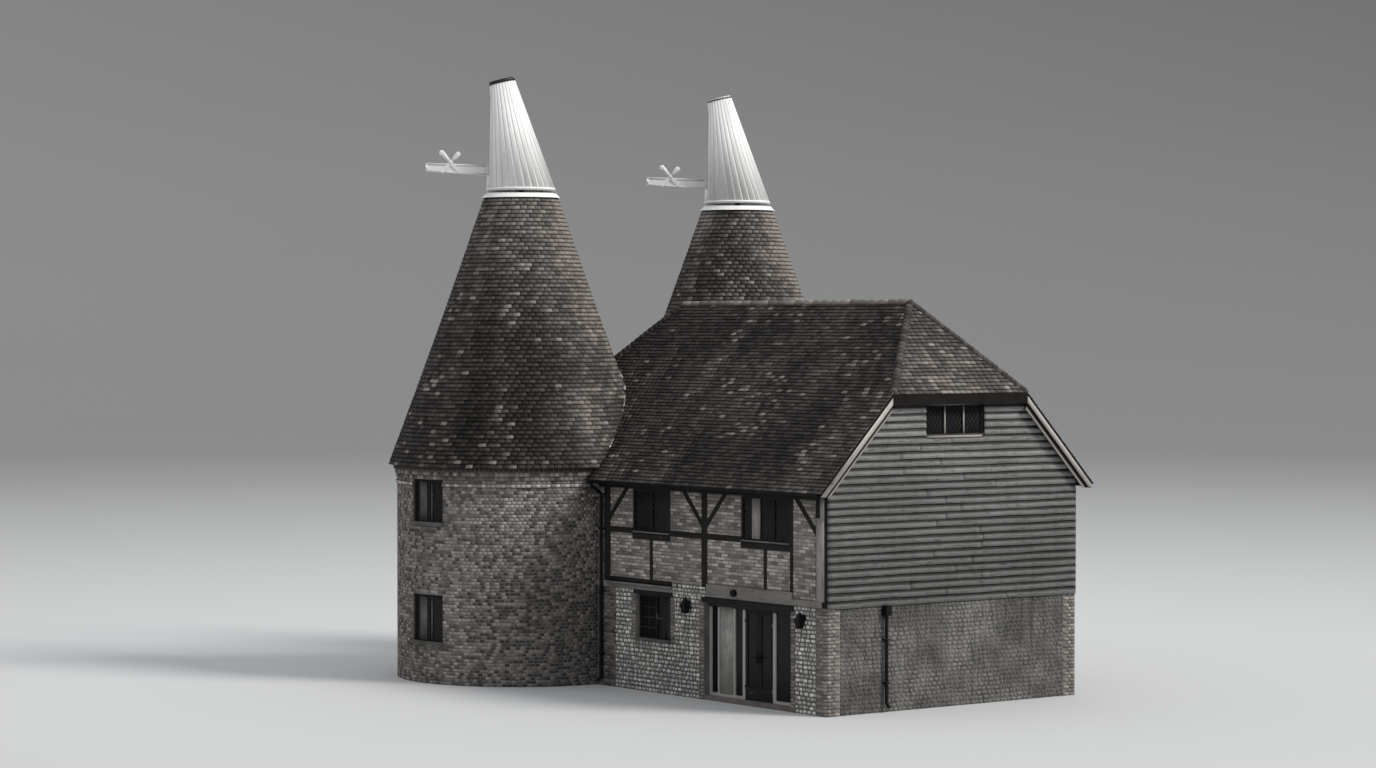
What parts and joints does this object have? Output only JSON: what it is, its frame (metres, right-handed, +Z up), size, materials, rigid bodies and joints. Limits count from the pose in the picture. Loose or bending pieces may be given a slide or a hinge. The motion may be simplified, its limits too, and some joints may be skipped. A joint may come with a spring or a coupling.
{
  "type": "oast house",
  "caption": "Oast house: round brick kilns with tiled cones and turning white cowls beside a timber-framed barn with a boarded half-hipped gable.",
  "frame": {"origin": "ground level under the middle of the barn, on the underside of the ground floor", "axes": "+X along the barn from the kilns to the boarded gable, +Y from the front with the glazed doors to the back, +Z up"},
  "size_m": [14.1997, 12.4498, 13.7686],
  "materials": {
    "brick": "weathered brick in lime mortar",
    "stone": "coursed rubble and brick",
    "tile": "old clay tiles with lichen",
    "white_boards": "white painted timber",
    "oak": "dark weathered oak",
    "beam_wood": "sawn timber",
    "weatherboard": "bare weathered boards",
    "dark_frames": "dark stained joinery",
    "glass": "old window glass",
    "sill": "tile and stone sills",
    "floor_boards": "wide boards",
    "floor_brick": "brick paving",
    "lead": "dull lead sheet",
    "iron": "black painted iron"
  },
  "bodies": {
    "house": {"kiln_walls_1": "brick", "kiln_walls_2": "brick", "kiln_roofs": "tile", "cowl_curbs": "white_boards", "cowl_beams": "beam_wood", "front_wall": "stone", "gable_foot_wall": "stone", "back_wall": "stone", "link_wall": "brick", "lintels": "oak", "bressummers": "oak", "frame_posts": "oak", "frame_rails": "oak", "frame_braces": "oak", "wall_plates": "oak", "brick_infill": "brick", "gable_wall": "weatherboard", "barge_boards": "white_boards", "ground_floors": "floor_brick", "upper_floors": "floor_boards", "attic_floor": "floor_boards", "roof_front": "tile", "roof_back": "tile", "roof_hips": "tile", "ridge_caps": "tile", "window_frames": "dark_frames", "window_sills": "sill", "window_glass": "glass", "screen_frame": "dark_frames", "gutters": "iron", "downpipes": "iron", "wall_lanterns": "iron"},
    "cowl_a": {"cowl_a_shell": "white_boards", "cowl_a_frame": "beam_wood", "cowl_a_cap": "lead", "cowl_a_finger": "white_boards", "cowl_a_ornament": "white_boards"},
    "cowl_b": {"cowl_b_shell": "white_boards", "cowl_b_frame": "beam_wood", "cowl_b_cap": "lead", "cowl_b_finger": "white_boards", "cowl_b_ornament": "white_boards"},
    "door_left": {"door_left": "dark_frames", "door_left_glass": "glass"},
    "door_right": {"door_right": "dark_frames", "door_right_glass": "glass"}
  },
  "joints": [
    {"name": "cowl_a_turn", "type": "hinge", "parent": "house", "child": "cowl_a", "pos_m": [-6.9, -3.62, 11.142], "axis": [0, 0, 1], "continuous": true},
    {"name": "cowl_b_turn", "type": "hinge", "parent": "house", "child": "cowl_b", "pos_m": [-6.95, 2.75, 10.982], "axis": [0, 0, 1], "continuous": true},
    {"name": "door_left_hinge", "type": "hinge", "parent": "house", "child": "door_left", "pos_m": [1.1175, -3.37, 1], "axis": [0, 0, -1], "range_deg": [0, 95]},
    {"name": "door_right_hinge", "type": "hinge", "parent": "house", "child": "door_right", "pos_m": [2.0525, -3.37, 1], "axis": [0, 0, 1], "range_deg": [0, 95]}
  ]
}
